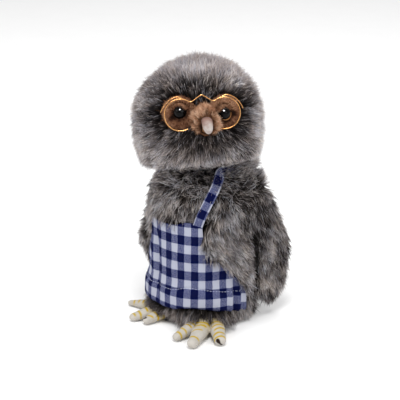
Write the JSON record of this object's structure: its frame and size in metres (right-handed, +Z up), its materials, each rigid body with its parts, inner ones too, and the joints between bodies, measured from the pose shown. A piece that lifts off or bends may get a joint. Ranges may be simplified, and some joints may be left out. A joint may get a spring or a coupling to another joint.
{
  "type": "glove puppet",
  "caption": "Plush owl glove puppet with a turning head, wings that lift, pull-off wire spectacles and a gingham bib apron, standing on its bound hand opening.",
  "frame": {"origin": "centre of the hand opening, on the floor under the base", "axes": "+Z up, -Y the way the owl's body faces, +X to the owl's own left"},
  "size_m": [0.117, 0.1067, 0.1995],
  "materials": {
    "grey_fur": "long two-tone pile, dark roots and pale tips",
    "brown_pile": "short brushed pile",
    "tan_pile": "fluffy pile",
    "cream_cloth": "brushed knit cloth with airbrushed marks",
    "gingham": "plain-weave navy and white check",
    "wadding": "polyester fibre",
    "lining_cloth": "plain cloth",
    "white_plastic": "moulded",
    "black_gloss": "polished dome",
    "gold_wire": "bright drawn wire"
  },
  "bodies": {
    "body": {"body_fur": "grey_fur", "shoulder_fur": "grey_fur", "body_wadding": "wadding", "body_lining": "lining_cloth", "base_binding": "lining_cloth", "neck_collar": "white_plastic", "foot_left": "cream_cloth", "foot_right": "cream_cloth", "apron": "gingham", "neck_strap": "gingham", "waist_elastic": "lining_cloth", "shoulder_seam_left": "lining_cloth", "shoulder_seam_right": "lining_cloth"},
    "head": {"head_fur": "grey_fur", "head_stuffing": "wadding", "neck_tube": "white_plastic", "neck_ring": "white_plastic", "face_disc_left": "brown_pile", "face_disc_right": "brown_pile", "muzzle": "tan_pile", "beak": "cream_cloth", "eye_left": "black_gloss", "eye_right": "black_gloss", "eye_washer_left": "white_plastic", "eye_washer_right": "white_plastic"},
    "spectacles": {"spectacle_rims": "gold_wire", "temple_left": "gold_wire", "temple_right": "gold_wire"},
    "wing_left": {"wing_left_front": "grey_fur", "wing_left_rear": "grey_fur"},
    "wing_right": {"wing_right_front": "grey_fur", "wing_right_rear": "grey_fur"}
  },
  "joints": [
    {"name": "head_turn", "type": "hinge", "parent": "body", "child": "head", "pos_m": [0, -0.007, 0.104], "axis": [0, 0, 1], "range_deg": [-132, 48]},
    {"name": "spectacles_off", "type": "slide", "parent": "head", "child": "spectacles", "axis": [0.6493, -0.7211, 0.2419], "range_m": [0, 0.05]},
    {"name": "wing_left_lift", "type": "hinge", "parent": "body", "child": "wing_left", "pos_m": [0.0382, 0, 0.097], "axis": [0, -1, 0], "range_deg": [0, 80]},
    {"name": "wing_right_lift", "type": "hinge", "parent": "body", "child": "wing_right", "pos_m": [-0.0382, 0, 0.097], "axis": [0, 1, 0], "range_deg": [0, 80]}
  ]
}
